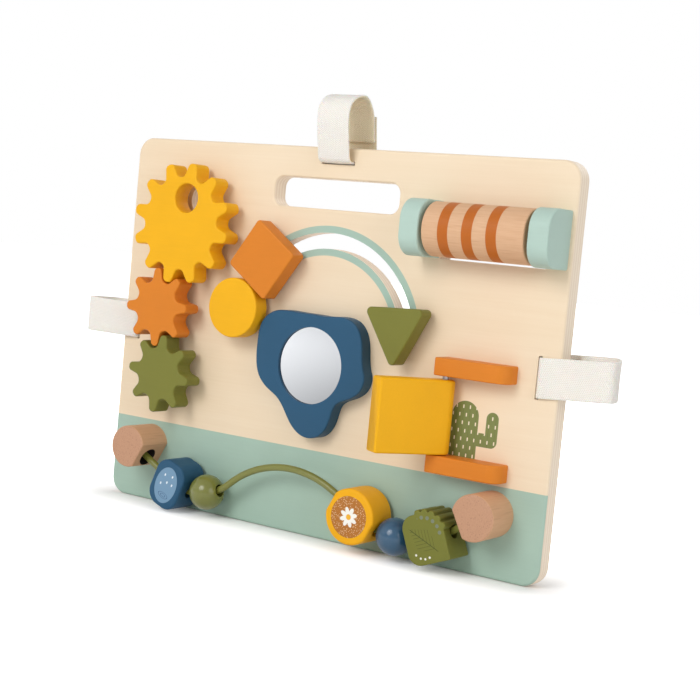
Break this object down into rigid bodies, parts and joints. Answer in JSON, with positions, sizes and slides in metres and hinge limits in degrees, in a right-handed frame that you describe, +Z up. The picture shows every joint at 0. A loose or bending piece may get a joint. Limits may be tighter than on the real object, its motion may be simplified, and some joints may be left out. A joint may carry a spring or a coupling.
{
  "type": "wooden busy board",
  "caption": "Upright plywood activity board for a baby with meshing gears, arc sliders, a mirror, a roller, a peekaboo door and a bead wire, held by webbing loops.",
  "frame": {"origin": "centre of the board's bottom face, midway between its front and its back", "axes": "+X to the right seen from the front, +Y from the front to the back through the board, +Z up along the board"},
  "size_m": [0.4236, 0.0799, 0.3016],
  "materials": {
    "birch_ply": "clear satin lacquer on plywood, pale mint paint on the lower band and along the arc slot",
    "mint_paint": "satin mint paint on wood",
    "yellow_paint": "satin yellow paint on wood",
    "orange_paint": "satin orange paint on wood",
    "green_paint": "satin olive green paint on wood",
    "blue_paint": "satin slate blue paint on wood",
    "beech": "clear satin lacquer on beech",
    "dowel_wood": "plain beech dowel and plywood",
    "mirror": "silvered shatterproof sheet",
    "webbing": "woven cotton webbing",
    "fastener_tape": "hook and loop fastener tape",
    "zinc": "zinc plated",
    "olive_enamel": "olive enamelled steel wire"
  },
  "bodies": {
    "base": {"board": "birch_ply", "bead_wire": "olive_enamel", "door_bar_lower": "orange_paint", "door_bar_upper": "orange_paint", "door_pin": "zinc", "mirror_backing": "dowel_wood", "mirror_disc": "mirror", "mirror_frame": "blue_paint", "peg_left": "beech", "peg_right": "beech", "roller_axle": "zinc", "roller_block_left": "mint_paint", "roller_block_right": "mint_paint", "strap_hook_patches": "fastener_tape", "strap_left": "webbing", "strap_loop_patches": "fastener_tape", "strap_right": "webbing", "strap_top": "webbing", "wood_screws_long": "zinc", "wood_screws_short": "zinc"},
    "large_gear": {"large_gear": "yellow_paint", "large_gear_dowel": "dowel_wood", "large_gear_retainer": "dowel_wood", "large_gear_screw": "zinc"},
    "middle_gear": {"middle_gear": "orange_paint", "middle_gear_dowel": "dowel_wood", "middle_gear_retainer": "dowel_wood", "middle_gear_screw": "zinc"},
    "lower_gear": {"lower_gear": "green_paint", "lower_gear_dowel": "dowel_wood", "lower_gear_retainer": "dowel_wood", "lower_gear_screw": "zinc"},
    "square_slider": {"square_slider": "orange_paint", "square_slider_dowel": "dowel_wood", "square_slider_retainer": "dowel_wood", "square_slider_screw": "zinc"},
    "disc_slider": {"disc_slider": "yellow_paint", "disc_slider_dowel": "dowel_wood", "disc_slider_retainer": "dowel_wood", "disc_slider_screw": "zinc"},
    "triangle_slider": {"triangle_slider": "green_paint", "triangle_slider_dowel": "dowel_wood", "triangle_slider_retainer": "dowel_wood", "triangle_slider_screw": "zinc"},
    "roller": {"roller": "beech"},
    "door": {"door": "yellow_paint"},
    "pebble_bead": {"pebble_bead": "blue_paint"},
    "green_ball": {"green_ball": "green_paint"},
    "flower_bead": {"flower_bead": "yellow_paint"},
    "blue_ball": {"blue_ball": "blue_paint"},
    "leaf_bead": {"leaf_bead": "green_paint"}
  },
  "joints": [
    {"name": "large_gear_spin", "type": "hinge", "parent": "base", "child": "large_gear", "pos_m": [-0.1179, 0, 0.206], "axis": [0, -1, 0], "continuous": true},
    {"name": "middle_gear_spin", "type": "hinge", "parent": "base", "child": "middle_gear", "pos_m": [-0.13358, 0, 0.14447], "axis": [0, -1, 0], "continuous": true},
    {"name": "lower_gear_spin", "type": "hinge", "parent": "base", "child": "lower_gear", "pos_m": [-0.12653, 0, 0.09669], "axis": [0, -1, 0], "continuous": true},
    {"name": "square_slider_travel", "type": "hinge", "parent": "base", "child": "square_slider", "pos_m": [0, 0, 0.1353], "axis": [0, -1, 0], "range_deg": [-34, 0]},
    {"name": "disc_slider_travel", "type": "hinge", "parent": "base", "child": "disc_slider", "pos_m": [0, 0, 0.1353], "axis": [0, -1, 0], "range_deg": [-34, 0]},
    {"name": "triangle_slider_travel", "type": "hinge", "parent": "base", "child": "triangle_slider", "pos_m": [0, 0, 0.1353], "axis": [0, -1, 0], "range_deg": [0, 32]},
    {"name": "roller_spin", "type": "hinge", "parent": "base", "child": "roller", "pos_m": [0.1246, -0.0205, 0.2178], "axis": [1, 0, 0], "continuous": true},
    {"name": "door_swing", "type": "hinge", "parent": "base", "child": "door", "pos_m": [0.1046, -0.0155, 0.0745], "axis": [0, 0, 1], "range_deg": [-56, 122]},
    {"name": "pebble_bead_travel", "type": "hinge", "parent": "base", "child": "pebble_bead", "pos_m": [-0.0885, -0.0215, 0.062], "axis": [0, -1, 0], "range_deg": [-6, 0]},
    {"name": "green_ball_travel", "type": "hinge", "parent": "base", "child": "green_ball", "pos_m": [-0.0885, -0.0215, 0.06523], "axis": [0, -1, 0], "range_deg": [0, 22]},
    {"name": "flower_bead_travel", "type": "hinge", "parent": "base", "child": "flower_bead", "pos_m": [0.0885, -0.0215, 0.09684], "axis": [0, -1, 0], "range_deg": [-6, 0]},
    {"name": "blue_ball_travel", "type": "hinge", "parent": "base", "child": "blue_ball", "pos_m": [0.0885, -0.0215, 0.09684], "axis": [0, -1, 0], "range_deg": [-6, 0]},
    {"name": "leaf_bead_travel", "type": "slide", "parent": "base", "child": "leaf_bead", "axis": [0.8829, 0, 0.4695], "range_m": [0, 0.0075]}
  ],
  "couplings": [
    {"joint": "middle_gear_spin", "follows": "large_gear_spin", "ratio": -1.5},
    {"joint": "lower_gear_spin", "follows": "large_gear_spin", "ratio": 1.5},
    {"joint": "disc_slider_travel", "follows": "square_slider_travel", "ratio": 1},
    {"joint": "blue_ball_travel", "follows": "flower_bead_travel", "ratio": 1}
  ]
}
